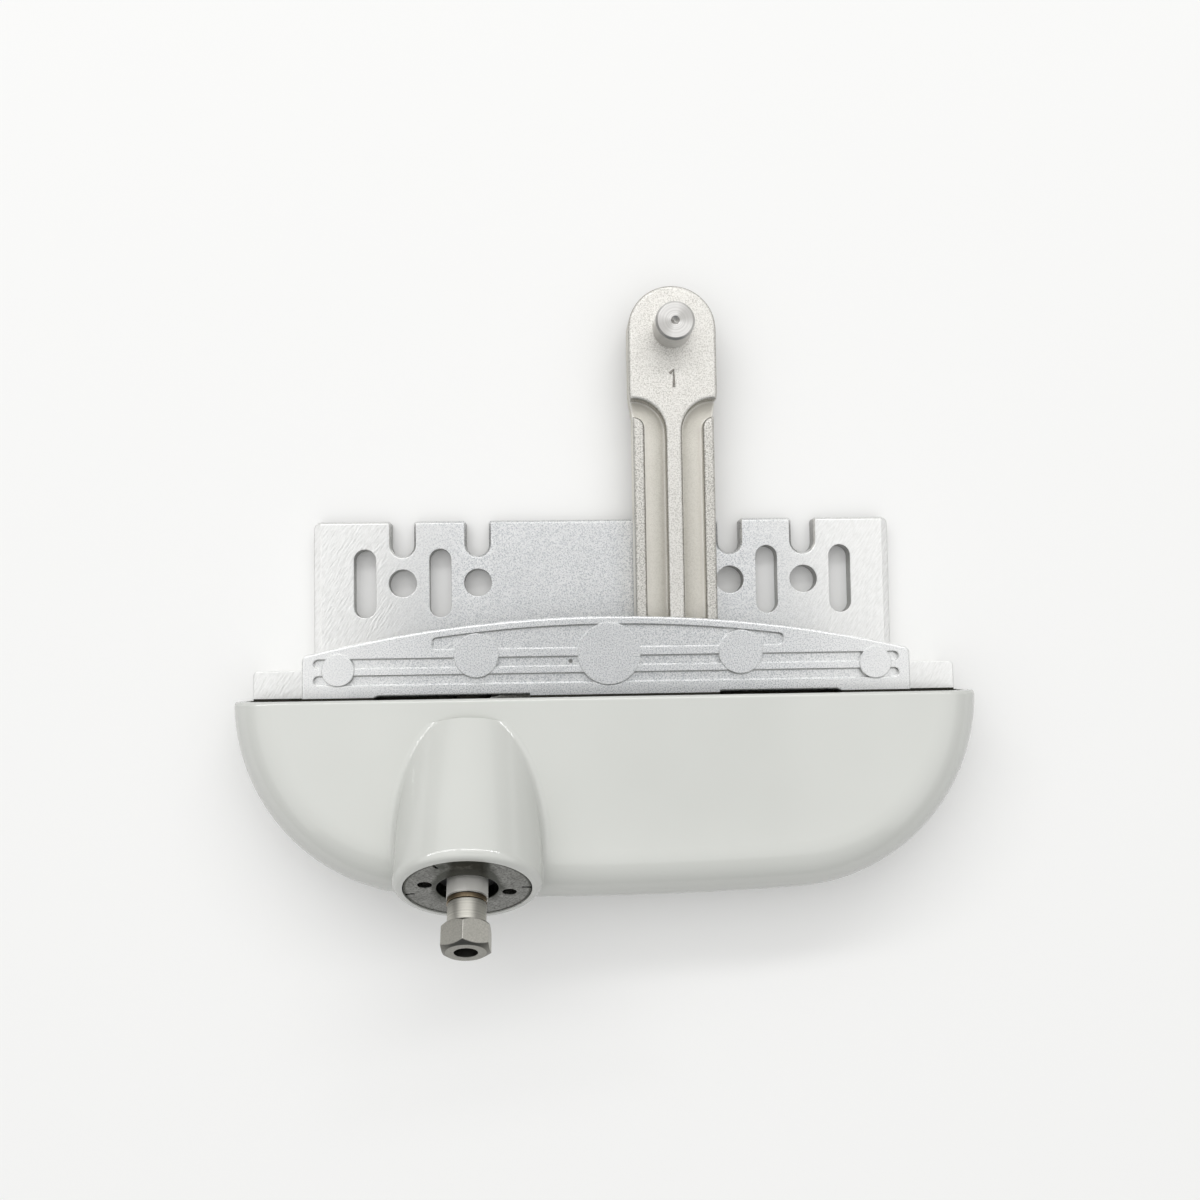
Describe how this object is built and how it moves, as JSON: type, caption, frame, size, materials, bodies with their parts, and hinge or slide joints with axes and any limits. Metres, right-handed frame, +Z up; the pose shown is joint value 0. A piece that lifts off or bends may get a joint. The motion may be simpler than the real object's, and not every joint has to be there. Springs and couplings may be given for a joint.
{
  "type": "casement window operator",
  "caption": "Crank-driven casement window operator: flanged zinc base, ribbed bridge, enamelled cover with a slanted spindle pod, and a fluted swing arm with a track stud.",
  "frame": {"origin": "underside of the flange, in the middle of the line of screw holes", "axes": "+X along the sill, +Y outdoors along the open arm, +Z up from the sill"},
  "size_m": [0.1628, 0.1446, 0.044],
  "materials": {
    "bare_zinc": "bare die-cast zinc, fine speckle",
    "cover_enamel": "glossy off-white enamel",
    "arm_steel": "tumbled cast steel, warm grey",
    "spindle_steel": "turned steel, satin",
    "turned_steel": "turned steel, bright",
    "retainer_steel": "matte grey steel",
    "ring_steel": "oiled spring steel",
    "screw_steel": "zinc-plated steel",
    "bushing_bronze": "sintered bronze",
    "washer_plastic": "natural acetal",
    "seal_rubber": "black rubber"
  },
  "bodies": {
    "housing": {"base_casting": "bare_zinc", "upper_bridge": "bare_zinc", "front_cover": "cover_enamel", "spindle_retainer": "retainer_steel", "spindle_seal": "seal_rubber", "spindle_bushing": "bushing_bronze", "worm_end_bushing": "bushing_bronze", "pivot_pin": "turned_steel", "pivot_washer_lower": "washer_plastic", "pivot_washer_upper": "washer_plastic", "bridge_screws": "screw_steel", "cover_screws": "screw_steel"},
    "arm": {"drive_arm": "arm_steel", "track_stud": "turned_steel", "pivot_bushing": "bushing_bronze"},
    "spindle": {"spindle_worm": "spindle_steel", "thrust_washer": "bushing_bronze", "snap_ring": "ring_steel"}
  },
  "joints": [
    {"name": "arm_swing", "type": "hinge", "parent": "housing", "child": "arm", "pos_m": [-0.0095, -0.03006, 0.0086], "axis": [0, 0, 1], "range_deg": [0, 86]},
    {"name": "spindle_turn", "type": "hinge", "parent": "housing", "child": "spindle", "pos_m": [-0.0305, -0.0646, 0.0319], "axis": [0, -0.829, 0.5592], "range_deg": [-2760, 10]}
  ],
  "couplings": [
    {"joint": "spindle_turn", "follows": "arm_swing", "ratio": -32}
  ]
}
